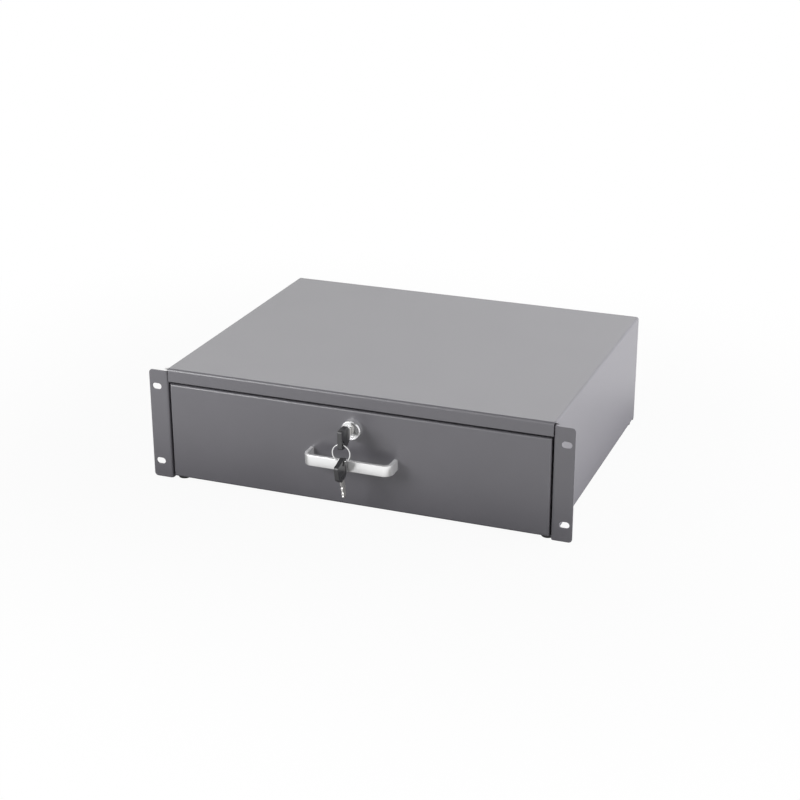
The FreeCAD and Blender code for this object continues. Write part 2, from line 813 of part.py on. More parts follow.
# ---- Lock ----
def lock_body():
    """Bezel, flatted barrel and the bore that the plug turns in."""
    bezel = rod(bezel_radius, Vector(0, bezel_y, lock_z), Y, bezel_height)
    rim = [e for e in bezel.Edges if e.BoundBox.YLength < hair and abs(e.BoundBox.YMin - bezel_y) < hair]
    bezel = bezel.makeChamfer(bezel_chamfer, rim)
    barrel = lock_hole(face_y - over, barrel_end_y, 0)
    recess = rod(bezel_recess_radius, Vector(0, bezel_y, lock_z), Y, bezel_recess_depth)
    bore = rod(plug_radius + plug_clearance, Vector(0, bezel_y, lock_z), Y, barrel_end_y - bezel_y)
    return fused([bezel, barrel]).cut([recess, bore])


def lock_nut():
    start = Vector(0, tray_wall_y, lock_z)
    nut = hexagon(lock_nut_flats, start, Y, lock_nut_height)
    bore_radius = (barrel_radius + thread_clearance) / math.cos(math.pi / round_sides)
    return nut.cut(prism(round_sides, bore_radius, start, Y, lock_nut_height))


def lock_plug():
    body = rod(plug_radius, Vector(0, plug_y, lock_z), Y, barrel_end_y - plug_y)
    half = drive_square / 2
    drive = block(-half, half, barrel_end_y - over, cam_rear_y, lock_z - half, lock_z + half)
    half_t = blade_thickness / 2 + keyway_clearance
    half_w = blade_width / 2 + keyway_clearance
    keyway_end = bezel_y + blade_in_lock + over
    keyway = block(-half_t, half_t, plug_y - over, keyway_end, lock_z - half_w, lock_z + half_w)
    bore = cam_screw_radius + thread_clearance
    thread = pin(bore, Vector(0, cam_rear_y, lock_z), -Y, cam_screw_bite + thread_end)
    return fused([body, drive]).cut([keyway, thread])


def lock_cam():
    """Flat tongue, at rest out to the left; a quarter turn lifts it behind the strike."""
    hub = prism(round_sides, cam_hub_radius, Vector(0, cam_y, lock_z), Y, cam_thickness)
    half = cam_width / 2
    arm_end = cam_length - half
    arm = block(-arm_end, 0, cam_y, cam_rear_y, lock_z - half, lock_z + half)
    tip = prism(round_sides, half, Vector(-arm_end, cam_y, lock_z), Y, cam_thickness)
    side = drive_square / 2 + thread_clearance
    hole = block(-side, side, cam_y - over, cam_rear_y + over, lock_z - side, lock_z + side)
    return fused([hub, arm, tip]).cut(hole)


def cam_washer():
    start = Vector(0, cam_rear_y, lock_z)
    washer = prism(round_sides, cam_washer_radius, start, Y, cam_washer_thickness)
    return washer.cut(pin(cam_screw_radius + hole_clearance, start, Y, cam_washer_thickness))


def cam_screw():
    seat_y = cam_rear_y + cam_washer_thickness
    head = pin(cam_screw_head_radius, Vector(0, seat_y, lock_z), Y, cam_screw_head_height)
    shank = pin(cam_screw_radius, Vector(0, seat_y, lock_z), -Y, cam_screw_bite + cam_washer_thickness)
    return fused([head, shank])


# ---- Keys ----
# A key is drawn flat first: s runs from the blade's shoulder into the bow,
# n across it, and the bow's hole is on the side of negative n.
def key_blade():
    half = blade_width / 2
    tip = blade_tip_width / 2
    bevel = half - tip
    points = [
        (-blade_length + bevel, -half),
        (tang_length, -half),
        (tang_length, half),
        (-blade_length + bevel, half),
        (-blade_length, tip),
        (-blade_length, -tip),
    ]
    blade = flat_plate(points, blade_thickness)
    cutters = []
    for i, depth in enumerate(cut_depths):
        s = -blade_length + bevel + first_cut + i * cut_pitch
        foot = cut_floor / 2
        notch = [
            (s - foot - depth - over, half + over),
            (s - foot, half - depth),
            (s + foot, half - depth),
            (s + foot + depth + over, half + over),
        ]
        cutters.append(flat_plate(notch, blade_thickness + over))
    return blade.cut(cutters)


def flat_plate(points, thickness):
    """A plate in the plane (s, n), centred on it."""
    corners = [Vector(s, n, -thickness / 2) for s, n in points]
    return Part.Face(Part.makePolygon(corners + corners[:1])).extrude(Z * thickness)


def upright_edges(plate):
    return [e for e in plate.Edges if e.BoundBox.ZLength > hair]


def key_bow():
    """Moulded grip round the blade's tang, with a sunk panel on each face."""
    w = bow_half_width
    outline = [
        (0, -neck_half_width),
        (neck_length, -w),
        (bow_length, -w),
        (bow_length, w),
        (neck_length, w),
        (0, neck_half_width),
    ]
    bow = flat_plate(outline, bow_thickness)
    bow = bow.makeFillet(bow_corner_radius, upright_edges(bow))
    inner = w - bow_panel_margin
    hole_s = bow_length - bow_hole_from_end
    panel_end = hole_s - bow_hole_radius - bow_hole_land
    panel_outline = [(neck_length, -inner), (panel_end, -inner), (panel_end, inner), (neck_length, inner)]
    hole_start = Vector(hole_s, -bow_hole_offset, -bow_thickness)
    cutters = [rod(bow_hole_radius, hole_start, Z, 2 * bow_thickness)]
    for side in (-1, 1):
        panel = flat_plate(panel_outline, bow_panel_depth)
        panel.translate(Z * side * (bow_thickness - bow_panel_depth) / 2)
        cutters.append(panel)
    return bow.cut(cutters + [key_blade()])


def in_lock(shape):
    """From flat to the key in the lock: s forward, n up."""
    shape.rotate(ORIGIN, Vector(1, 1, 1), 120)
    shape.rotate(ORIGIN, X, 180)
    shape = shape.mirror(ORIGIN, Z)
    shape.translate(Vector(0, bow_y, lock_z))
    return shape


def hanging(shape):
    """From flat to the spare key on the ring: s up, n towards the viewer, tip tilted in."""
    shape.translate(Vector(bow_hole_from_end - bow_length, bow_hole_offset, 0))
    shape.rotate(ORIGIN, Vector(1, 1, 1), 120)
    shape.rotate(ORIGIN, X, 90)
    shape.rotate(ORIGIN, X, spare_tilt)
    shape.translate(Vector(0, ring_y, spare_hole_z))
    return shape


def key_ring():
    """Wire ring in short straight facets, hanging in the plane of the drawer's front."""
    centre = Vector(0, ring_y, (ring_top_z + ring_bottom_z) / 2)
    hoop = []
    for i in range(ring_facets):
        around = 2 * math.pi * i / ring_facets
        out = X * math.sin(around) + Z * math.cos(around)
        middle = centre + out * ring_mid_radius
        turns = [2 * math.pi * j / ring_sides for j in range(ring_sides)]
        hoop.append([middle + (out * math.cos(a) + Y * math.sin(a)) * ring_wire_radius for a in turns])
    faces = []
    for i in range(ring_facets):
        here, there = hoop[i], hoop[(i + 1) % ring_facets]
        for j in range(ring_sides):
            k = (j + 1) % ring_sides
            faces.append(Part.Face(Part.makePolygon([here[j], here[k], there[k], there[j], here[j]])))
    return Part.makeSolid(Part.makeShell(faces))


# ---- Build every piece ----
pieces = {
    "housing_shell": housing_shell(),
    "back_panel": back_panel(),
    "bottom_braces": bottom_braces(),
    "lock_strike": lock_strike(),
    "rubber_feet": rubber_feet(),
    "outer_slide_screws": outer_slide_screws(),
    "inner_slide_screws": inner_slide_screws(),
    "drawer_front": drawer_front(),
    "drawer_tray": drawer_tray(),
    "front_studs": front_studs(),
    "front_nuts": front_nuts(),
    "handle": handle(),
    "handle_screws": handle_screws(),
    "lock_body": lock_body(),
    "lock_nut": lock_nut(),
    "lock_plug": lock_plug(),
    "lock_cam": lock_cam(),
    "cam_washer": cam_washer(),
    "cam_screw": cam_screw(),
    "key_blade": in_lock(key_blade()),
    "key_bow": in_lock(key_bow()),
    "key_ring": key_ring(),
    "spare_blade": hanging(key_blade()),
    "spare_bow": hanging(key_bow()),
}
slide_pieces = {
    "slide_bracket": slide_bracket(),
    "outer_slide": outer_slide(),
    "middle_slide": middle_slide(),
    "inner_slide": inner_slide(),
    "outer_cage": cage(outer_cage_u, outer_ball_v),
    "inner_cage": cage(inner_cage_u, inner_ball_v),
    "outer_balls": ball_row_pair(outer_ball_v),
    "inner_balls": ball_row_pair(inner_ball_v),
}
for name, shape in slide_pieces.items():
    pieces[name + "_right"] = shape
    pieces[name + "_left"] = mirrored(shape)

os.makedirs("parts", exist_ok=True)
for name, shape in pieces.items():
    shape.exportStep("parts/" + name + ".step")
    box = shape.BoundBox
    print(
        f"{name:22s} {len(shape.Solids)} solid(s), valid {shape.isValid()}, volume {shape.Volume:.1f},"
        f" x {box.XMin:.1f} to {box.XMax:.1f}, y {box.YMin:.1f} to {box.YMax:.1f},"
        f" z {box.ZMin:.1f} to {box.ZMax:.1f}"
    )
print(len(pieces), "nodes; drawer travel", drawer_travel, "mm, lock axis at z", lock_z)
print(f"keys' holes at y {ring_y:.4f}, z {key_hole_z:.4f} and {spare_hole_z:.4f}")
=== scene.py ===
# %% [markdown]
# # Dressing a sliding rack drawer
#
# The real object is a folded steel housing, painted dark grey, with two slotted ears that bolt to a
# rack. A shallow drawer runs in it on ball-bearing slides. On its front are a bent bar handle and a
# cam lock, with one key in it and a spare hanging from a ring.
#
# The construction model already gives every piece its size and place. This lesson gives each piece
# the surface it has in life: rounded cut edges, turned and bent metal, and paint, plating and plastic
# made with shader nodes. Everything is in metres, with +X to the right, +Y into the rack and +Z up.

import json
import math

import bmesh
import bpy
from mathutils import Matrix, Vector


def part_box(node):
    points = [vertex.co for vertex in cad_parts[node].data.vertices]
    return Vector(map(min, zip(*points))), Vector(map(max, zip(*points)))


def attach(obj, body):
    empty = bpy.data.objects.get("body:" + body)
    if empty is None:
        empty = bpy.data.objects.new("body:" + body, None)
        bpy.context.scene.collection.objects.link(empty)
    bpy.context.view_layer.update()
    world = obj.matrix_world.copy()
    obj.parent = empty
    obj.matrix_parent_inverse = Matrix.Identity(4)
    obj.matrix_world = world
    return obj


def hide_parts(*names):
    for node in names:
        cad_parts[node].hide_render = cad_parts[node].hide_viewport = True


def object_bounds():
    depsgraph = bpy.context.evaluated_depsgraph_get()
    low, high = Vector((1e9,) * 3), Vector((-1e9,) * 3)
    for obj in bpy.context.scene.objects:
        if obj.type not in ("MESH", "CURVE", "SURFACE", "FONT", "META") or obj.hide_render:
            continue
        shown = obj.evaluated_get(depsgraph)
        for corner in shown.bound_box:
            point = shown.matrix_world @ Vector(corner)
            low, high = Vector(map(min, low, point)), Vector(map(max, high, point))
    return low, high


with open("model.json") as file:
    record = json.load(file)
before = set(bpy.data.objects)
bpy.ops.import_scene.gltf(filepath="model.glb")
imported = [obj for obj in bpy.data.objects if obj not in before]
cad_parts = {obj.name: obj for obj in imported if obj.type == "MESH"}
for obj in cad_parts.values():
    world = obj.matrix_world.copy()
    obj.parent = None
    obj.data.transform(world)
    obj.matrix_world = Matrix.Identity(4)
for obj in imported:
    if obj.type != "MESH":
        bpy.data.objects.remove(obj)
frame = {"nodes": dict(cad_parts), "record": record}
cad_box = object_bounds()

# %% [markdown]
# ## The camera
#
# The drawer is shown from the front right and a little from above, with a long lens so that its edges
# stay nearly parallel. A camera's own rotation is easiest to write as three turns: tip it up from
# looking straight down, turn it about the upright axis, and roll it a touch.

# %% Camera
camera_place = Vector((0.6366, -1.5107, 0.7102))
camera_turn = math.radians(21.142)
camera_dip = math.radians(21.644)
camera_roll = math.radians(-0.150)
sensor_width = 36.0
lens_length = 75.80

camera = bpy.data.objects.new("camera", bpy.data.cameras.new("camera"))
camera.data.sensor_width = sensor_width
camera.data.lens = lens_length
camera.matrix_world = (
    Matrix.Translation(camera_place)
    @ Matrix.Rotation(camera_turn, 4, "Z")
    @ Matrix.Rotation(math.pi / 2 - camera_dip, 4, "X")
    @ Matrix.Rotation(camera_roll, 4, "Z")
)
bpy.context.scene.collection.objects.link(camera)
bpy.context.scene.camera = camera
bpy.context.scene.view_settings.view_transform = "Standard"
print("camera stands", round(camera_place.length, 3), "m from the middle of the ears")

# %% [markdown]
# ## Shader maths as plain sums
#
# A finish is a network of nodes, and wiring many of them by hand hides the idea. This small class
# wraps one output of a node. Sums on it, such as `1 - mask` or `grain * 0.2 + 0.4`, add the Math nodes
# by themselves, and its method `node` adds any other kind. Settings come first, because some of them
# decide which sockets a node has. A socket goes by its name, or by its number where names are shared.

# %% A wrapped socket
class Wire:
    """One output of a shader node, or the start of a tree when it has none."""

    def __init__(self, tree, output=None):
        self.tree = tree
        self.output = output

    def node(self, kind, settings=None, sockets=None, output=0):
        """Adds a node: its settings, then the values or wires of its sockets."""
        made = self.tree.nodes.new("ShaderNode" + kind)
        for name, value in (settings or {}).items():
            setattr(made, name, value)
        for name, value in (sockets or {}).items():
            socket = self.find(made.inputs, name)
            if isinstance(value, Wire):
                self.tree.links.new(value.output, socket)
            else:
                socket.default_value = value
        return Wire(self.tree, self.find(made.outputs, output) if made.outputs else None)

    def find(self, sockets, name):
        """A socket by its number, or the one in use that has the name."""
        if isinstance(name, int):
            return sockets[name]
        return next(s for s in sockets if s.name == name and s.enabled)

    def sum(self, operation, first, second):
        return self.node("Math", {"operation": operation}, {0: first, 1: second})

    def __add__(self, other):
        return self.sum("ADD", self, other)

    def __radd__(self, other):
        return self.sum("ADD", other, self)

    def __sub__(self, other):
        return self.sum("SUBTRACT", self, other)

    def __rsub__(self, other):
        return self.sum("SUBTRACT", other, self)

    def __mul__(self, other):
        return self.sum("MULTIPLY", self, other)

    def __rmul__(self, other):
        return self.sum("MULTIPLY", other, self)


# %% [markdown]
# ## A finish with some life in it
#
# Every finish here has the same bones: a colour that drifts a little from place to place, a roughness
# that drifts with it, and a fine relief. Only the numbers and the kind of relief change, so one
# function makes the drift and one closes the material. Texture coordinates are the object's own, so
# the grain moves with the piece when the drawer opens.

# %% The bones of a finish
def start_finish(name):
    material = bpy.data.materials.new(name)
    material.use_nodes = True
    material.node_tree.nodes.clear()
    return material, Wire(material.node_tree)


def place_of(wire, stretch=(1, 1, 1)):
    """Object coordinates, squeezed along an axis to draw a texture out along it."""
    here = wire.node("TexCoord", output="Object")
    return wire.node("Mapping", None, {"Vector": here, "Scale": stretch})


def noise(wire, place, size, detail=2.0):
    """Soft noise from 0 to 1 whose blotches are about size metres across."""
    settings = {"noise_dimensions": "3D"}
    return wire.node("TexNoise", settings, {"Vector": place, "Scale": 1 / size, "Detail": detail})


def drift(wire, colour, share, amount):
    """A colour that a mask lightens and darkens by a share of itself."""
    low = [c * (1 - share) for c in colour] + [1]
    high = [c * (1 + share) for c in colour] + [1]
    sockets = {"Factor": amount, "A": low, "B": high}
    return wire.node("Mix", {"data_type": "RGBA"}, sockets, output="Result")


def close_finish(material, wire, sockets, relief, depth):
    """The surface shader, with a relief of depth metres."""
    bump = wire.node("Bump", None, {"Height": relief, "Distance": depth, "Strength": 1.0})
    surface = wire.node("BsdfPrincipled", None, {**sockets, "Normal": bump})
    wire.node("OutputMaterial", None, {"Surface": surface})
    return material


# %% [markdown]
# ## Powder coat
#
# The sheet steel is powder coated: dry paint is sprayed on and melted, and it flows into a smooth skin
# with a faint orange peel. It is dark grey under a strong satin gloss, so it goes pale where it is seen
# at a glancing angle, as the top and the sides are. A higher specular level gives that. The peel is a
# relief a hundredth of a millimetre deep with bumps about two millimetres across, and a finer one
# keeps the gloss soft.

# %% Paint
cloud_size, peel_size, dust_size = 0.06, 0.0022, 0.0006
peel_depth = 0.000014
peel_share = 0.8
cloud_rough, dust_rough = 0.05, 0.04
colour_drift = 0.06


def powder_coat(name, colour, roughness):
    material, wire = start_finish(name)
    place = place_of(wire)
    cloud = noise(wire, place, cloud_size)
    peel = noise(wire, place, peel_size, detail=1.0)
    dust = noise(wire, place, dust_size, detail=1.0)
    smoothest = roughness - (cloud_rough + dust_rough) / 2
    sockets = {
        "Base Color": drift(wire, colour, colour_drift, cloud),
        "Roughness": cloud * cloud_rough + (dust * dust_rough + smoothest),
        "Specular IOR Level": 1.0,
    }
    relief = peel * peel_share + dust * (1 - peel_share)
    return close_finish(material, wire, sockets, relief, peel_depth)


paint = powder_coat("housing_paint", (0.140, 0.136, 0.152), 0.40)
tray_paint = powder_coat("tray_paint", (0.130, 0.127, 0.140), 0.44)
print("paints:", paint.name, tray_paint.name)

# %% [markdown]
# ## Plated and bare metals
#
# Metals differ in how they were worked. Rolled slide steel has long faint streaks under bright zinc.
# The handle is aluminium bar, brushed along its length and anodised: the clear skin scatters some
# light, so it is a little less bare than polished metal. The lock is a chrome-plated casting with
# hardly any grain, and the keys are dull nickel over brass. One function covers them all: the streaks
# come from noise that is drawn out along one axis.

# %% Metals
cloud_across = 0.02
grain_share = 0.6
grain_rough, cloud_rough_metal = 0.1, 0.06


def metal(name, colour, roughness, streak, stretch, depth, variation=0.06, bare=1.0):
    """Streaks of a given width, drawn out by stretch, on metal that is more or less bare."""
    material, wire = start_finish(name)
    grain = noise(wire, place_of(wire, stretch), streak, detail=3.0)
    cloud = noise(wire, place_of(wire), cloud_across)
    patchy = grain * grain_share + cloud * (1 - grain_share)
    smoothest = roughness - (grain_rough + cloud_rough_metal) / 2
    sockets = {
        "Base Color": drift(wire, colour, variation, patchy),
        "Metallic": bare,
        "Roughness": grain * grain_rough + (cloud * cloud_rough_metal + smoothest),
    }
    return close_finish(material, wire, sockets, grain, depth)


drawn_out = 0.03
along_x = (drawn_out, 1, 1)
along_y = (1, drawn_out, 1)
along_z = (1, 1, drawn_out)
even = (1, 1, 1)
micron = 0.000001
zinc = metal(
    "slide_zinc", (0.52, 0.53, 0.55), 0.36, streak=0.0008, stretch=along_y, depth=3 * micron
)
cage_steel = metal(
    "cage_steel", (0.52, 0.53, 0.54), 0.34, streak=0.0006, stretch=along_y, depth=3 * micron
)
ball_steel = metal(
    "ball_steel", (0.78, 0.78, 0.79), 0.10, streak=0.0010, stretch=even, depth=0.5 * micron,
    variation=0.02,
)
screw_zinc = metal(
    "zinc_screw", (0.62, 0.62, 0.60), 0.30, streak=0.0005, stretch=even, depth=3 * micron
)
handle_metal = metal(
    "handle_metal", (0.985, 0.985, 0.985), 0.2, streak=0.0005, stretch=along_x, depth=2 * micron,
    variation=0.01, bare=0.65,
)
lock_chrome = metal(
    "lock_metal", (0.88, 0.88, 0.89), 0.18, streak=0.0010, stretch=even, depth=micron,
    variation=0.03, bare=0.85,
)
key_nickel = metal(
    "key_metal", (0.62, 0.61, 0.59), 0.42, streak=0.0003, stretch=along_z, depth=2 * micron,
    variation=0.06, bare=0.75,
)
ring_wire = metal(
    "ring_wire", (0.80, 0.80, 0.80), 0.16, streak=0.0005, stretch=even, depth=micron,
    variation=0.03,
)
print("metals:", zinc.name, handle_metal.name, lock_chrome.name)

# %% [markdown]
# ## Moulded plastic and rubber
#
# The key bows are black plastic from a spark-eroded mould, which leaves a fine matt grain. The feet
# are rubber: darker, rougher and a little dusty.

# %% Plastic and rubber
smudge_size = 0.008
smudge_rough, grain_rough_moulded = 0.1, 0.08
moulded_drift = 0.2


def moulded(name, colour, roughness, grain_size, depth):
    material, wire = start_finish(name)
    place = place_of(wire)
    grain = noise(wire, place, grain_size)
    smudge = noise(wire, place, smudge_size)
    smoothest = roughness - (smudge_rough + grain_rough_moulded) / 2
    sockets = {
        "Base Color": drift(wire, colour, moulded_drift, smudge),
        "Roughness": smudge * smudge_rough + (grain * grain_rough_moulded + smoothest),
        "Specular IOR Level": 1.0,
    }
    return close_finish(material, wire, sockets, grain, depth)


key_plastic = moulded(
    "key_plastic", (0.026, 0.026, 0.028), 0.32, grain_size=0.0004, depth=10 * micron
)
rubber = moulded(
    "foot_rubber", (0.018, 0.018, 0.018), 0.7, grain_size=0.0006, depth=20 * micron
)
print("mouldings:", key_plastic.name, rubber.name)

# %% [markdown]
# ## Pieces with softened edges
#
# A sheared or sawn edge is never perfectly sharp, and paint rounds it more. The little band of light
# along such an edge is what makes folded sheet look like steel. So the sheet pieces are copied from
# the construction model, their flat triangles are joined into whole faces, and a Bevel modifier rounds
# every corner that turns by more than 35 degrees. Weighted normals then keep the large flats flat.
# Where three rounded edges meet, a corner can rise a hair, so each point is held in the node's box.

# %% Rounding the edges of a copy
sharp_turn = math.radians(35)
flat_turn = math.radians(1)
same_point = 1e-6
flats_first = 100


def finished(copy, limits, body, slot, material):
    """Applies a piece's modifiers within its limits, gives it its finish and hangs it on its body."""
    bpy.context.view_layer.update()
    evaluated = copy.evaluated_get(bpy.context.evaluated_depsgraph_get())
    mesh = bpy.data.meshes.new_from_object(evaluated)
    for vert in mesh.vertices:
        vert.co = [min(max(c, low), high) for c, low, high in zip(vert.co, *limits)]
    copy.modifiers.clear()
    copy.data = mesh
    copy.data.name = copy.name
    mesh.materials.clear()
    mesh.materials.append(material)
    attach(copy, body)


def body_of(node):
    """The body that carries a node."""
    groups = frame["record"]["behaviour"]["bodies"]
    return next(body for body, nodes in groups.items() if node in nodes)


def slot_of(node):
    return next(s["material_slot"] for s in frame["record"]["subparts"] if s["node"] == node)


def softened(node, material, width, rounds=2):
    """A copy of a node with rounded edges, which stands for it."""
    copy = bpy.data.objects.new(node + "_soft", frame["nodes"][node].data.copy())
    bpy.context.scene.collection.objects.link(copy)
    mesh = bmesh.new()
    mesh.from_mesh(copy.data)
    bmesh.ops.remove_doubles(mesh, verts=mesh.verts, dist=same_point)
    bmesh.ops.dissolve_limit(mesh, angle_limit=flat_turn, verts=mesh.verts, edges=mesh.edges)
    mesh.to_mesh(copy.data)
    mesh.free()
    copy.data.shade_smooth()
    bevel = copy.modifiers.new("edges", "BEVEL")
    bevel.width = width
    bevel.segments = rounds
    bevel.limit_method = "ANGLE"
    bevel.angle_limit = sharp_turn
    bevel.use_clamp_overlap = False
    bevel.miter_outer = "MITER_SHARP"
    weighted = copy.modifiers.new("flats", "WEIGHTED_NORMAL")
    weighted.weight = flats_first
    finished(copy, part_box(node), body_of(node), slot_of(node), material)
    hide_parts(node)


# %% Sheet steel
sheet_edge, tray_edge = 0.00025, 0.00015
for node in (
    "housing_shell", "back_panel", "bottom_braces", "lock_strike", "drawer_front",
    "slide_bracket_right", "slide_bracket_left",
):
    softened(node, paint, sheet_edge)
softened("drawer_tray", tray_paint, tray_edge)
print("softened the sheet pieces")

# %% [markdown]
# ## Rolled, cast and moulded pieces
#
# The slides are rolled from strip, the cages pressed, the lock cast and turned, and the key bows
# moulded. All of them have small rounded edges, and only the size of the rounding differs: a tenth of
# a millimetre on pressed steel, and more on the plastic, which has to feel kind to the thumb.

# %% Slides, lock and keys
steel_edge, cage_edge = 0.00012, 0.00005
for side in ("right", "left"):
    for member in ("outer", "middle", "inner"):
        softened(f"{member}_slide_{side}", zinc, steel_edge)
    for row in ("outer", "inner"):
        softened(f"{row}_cage_{side}", cage_steel, cage_edge)

edges = {
    "front_nuts": (screw_zinc, 0.00015), "lock_body": (lock_chrome, 0.00015),
    "lock_nut": (lock_chrome, 0.0002), "lock_plug": (lock_chrome, 0.00008),
    "lock_cam": (screw_zinc, 0.00012), "cam_washer": (screw_zinc, 0.00008),
    "key_blade": (key_nickel, 0.00008), "spare_blade": (key_nickel, 0.00008),
    "key_bow": (key_plastic, 0.0003), "spare_bow": (key_plastic, 0.0003),
}
for node, (material, width) in edges.items():
    softened(node, material, width, rounds=3)
print("softened", len(edges), "small pieces and ten of the slides")

# %% [markdown]
# ## Skins over rings
#
# Screws and feet are round about one line, so each is a stack of rings with a skin over them. A ring's
# radius may depend on the turn: six flats make a socket, four arms make a cross recess, and a radius
# that also climbs with the height winds a thread round a shank. One function lays the skin.

# %% Rings
def circle(radius):
    return lambda turn: radius


def hexagon(half_flats):
    sixth = math.pi / 3
    return lambda turn: half_flats / math.cos((turn + sixth / 2) % sixth - sixth / 2)


def cross(reach, width):
    quarter = math.pi / 2
    least_sine = 0.001

    def radius(turn):
        off = abs((turn + quarter / 2) % quarter - quarter / 2)
        across = width / 2 / max(math.sin(off), least_sine)
        return min(reach, across)

    return radius


def thread(radius, depth, pitch, height):
    """A ring of a winding ridge: the radius falls away either side of the crest."""

    def at(turn):
        crest = (height / pitch - turn / (2 * math.pi)) % 1.0
        return radius - depth * abs(2 * crest - 1)

    return at


# %% Laying the skin
def skin(mesh, levels, sides, place, axis):
    """Skins rings at rising heights along an axis and closes both ends."""
    turn_to = Vector(axis).to_track_quat("Z", "Y").to_matrix().to_4x4()
    stand = Matrix.Translation(place) @ turn_to
    turns = [2 * math.pi * i / sides for i in range(sides)]
    rings = []
    for height, radius in levels:
        spots = [Vector((radius(a) * math.cos(a), radius(a) * math.sin(a), height)) for a in turns]
        rings.append([mesh.verts.new(stand @ spot) for spot in spots])
    for low, high in zip(rings, rings[1:]):
        for i in range(sides):
            k = (i + 1) % sides
            mesh.faces.new((low[i], low[k], high[k], high[i]))
    mesh.faces.new(list(reversed(rings[0])))
    mesh.faces.new(rings[-1])


# %% [markdown]
# ## Standing in for a node
#
# A new mesh has to ride on the node's body and hide the node. It also has to be in its place, so
# the middle of each separate solid in a node is found by walking from point to point along the edges.

# %% Standing in
def stand_in(name, mesh, node, material):
    """Makes a piece of a finished mesh; it stands for a node."""
    bmesh.ops.recalc_face_normals(mesh, faces=mesh.faces)
    data = bpy.data.meshes.new(name)
    mesh.to_mesh(data)
    mesh.free()
    data.shade_smooth()
    data.set_sharp_from_angle(angle=sharp_turn)
    data.materials.append(material)
    piece = bpy.data.objects.new(name, data)
    bpy.context.scene.collection.objects.link(piece)
    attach(piece, body_of(node))
    slot_of(node)
    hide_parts(node)
    return piece


# %% Boxes of the separate solids
def solids_in(node):
    """The low and high corners of each separate solid of a node."""
    mesh = bmesh.new()
    mesh.from_mesh(frame["nodes"][node].data)
    bmesh.ops.remove_doubles(mesh, verts=mesh.verts, dist=same_point)
    left = set(mesh.verts)
    boxes = []
    while left:
        waiting = [left.pop()]
        corners = []
        while waiting:
            vert = waiting.pop()
            corners.append(vert.co.copy())
            joined = {edge.other_vert(vert) for edge in vert.link_edges} & left
            left -= joined
            waiting += joined
        low = Vector([min(c[i] for c in corners) for i in range(3)])
        high = Vector([max(c[i] for c in corners) for i in range(3)])
        boxes.append((low, high))
    mesh.free()
    return sorted(boxes, key=lambda box: [round(c, 5) for c in box[0]])


# %% [markdown]
# ## Bearing balls
#
# Each of the four cages holds six balls of hardened steel. They are ground and polished, so they are the
# smoothest pieces of all. Each new ball is centred on one of the node's own.

# %% Bearing balls
ball_radius = 0.002
ball_sides, ball_rings = 28, 18
for node in ("outer_balls_right", "outer_balls_left", "inner_balls_right", "inner_balls_left"):
    mesh = bmesh.new()
    for low, high in solids_in(node):
        middle = Matrix.Translation((low + high) / 2)
        bmesh.ops.create_uvsphere(
            mesh, u_segments=ball_sides, v_segments=ball_rings, radius=ball_radius, matrix=middle
        )
    balls = stand_in(node + "_round", mesh, node, ball_steel)
    print(balls.name, len(balls.data.polygons), "faces")

# %% [markdown]
# ## Screws and studs
#
# Inside the drawer sit button heads with a hexagon socket, which hold it to the slides, and pan heads
# with a cross recess, which hold the handle. Four welded studs carry nuts. A head is a short list of
# rings, each with its rise above the seat and its radius. Every one gets its thread, because the
# studs stand proud of their nuts and the eye expects the ridges.

# %% A screw
steps_per_pitch = 4
ridge_share = 0.6
screw_sides = 36


def screw(mesh, foot, axis, radius, length, pitch, head, drive, depth):
    """Thread from the foot up to the seat, then the head's rings, then the drive's pocket."""
    count = round(length / pitch * steps_per_pitch)
    ridge = ridge_share * pitch
    levels = [(0, circle(radius - ridge))]
    for i in range(1, count + 1):
        height = length * i / count
        levels.append((height, thread(radius, ridge, pitch, height)))
    levels += [(length + rise, circle(wide)) for rise, wide in head]
    if drive:
        top = levels[-1][0]
        levels += [(top, drive), (top - depth, drive)]
    skin(mesh, levels, screw_sides, foot, axis)


def screws_of(node, axis_of, **build):
    """One screw on each solid of a node, from its foot towards its head."""
    mesh = bmesh.new()
    for low, high in solids_in(node):
        middle = (low + high) / 2
        axis = Vector(axis_of(middle))
        half = Vector([abs(axis[i]) * (high[i] - low[i]) / 2 for i in range(3)])
        foot = middle - Vector([axis[i] * half[i] for i in range(3)])
        screw(mesh, foot, axis, **build)
    piece = stand_in(node + "_threaded", mesh, node, screw_zinc)
    print(piece.name, len(piece.data.polygons), "faces")


def inward(middle):
    return (-1 if middle.x > 0 else 1, 0, 0)


def rearward(middle):
    return (0, 1, 0)


coarse, fine = 0.0007, 0.0005
button = [(0, 0.0038), (0.0006, 0.0038), (0.0013, 0.0034), (0.0018, 0.0027), (0.002, 0.0022)]
screws_of(
    "inner_slide_screws", inward, radius=0.002, length=0.0022, pitch=coarse,
    head=button, drive=hexagon(0.00125), depth=0.0012,
)
flush = [(0, 0.002), (0.0012, 0.0036)]
screws_of(
    "outer_slide_screws", inward, radius=0.002, length=0.002, pitch=coarse,
    head=flush, drive=cross(0.0019, 0.0008), depth=0.0009,
)
pan = [(0, 0.0028), (0.0012, 0.0028), (0.0018, 0.0024), (0.002, 0.0019)]
screws_of(
    "handle_screws", rearward, radius=0.0015, length=0.0102, pitch=fine,
    head=pan, drive=cross(0.0015, 0.0006), depth=0.0011,
)
cam_pan = [(0, 0.0038), (0.0016, 0.0038), (0.0023, 0.0033), (0.0026, 0.0026)]
screws_of(
    "cam_screw", rearward, radius=0.002, length=0.009, pitch=coarse,
    head=cam_pan, drive=cross(0.002, 0.0008), depth=0.0015,
)
tip = [(0, 0.0017), (0.0002, 0.0015)]
screws_of(
    "front_studs", rearward, radius=0.002, length=0.0078, pitch=coarse,
    head=tip, drive=None, depth=0,
)

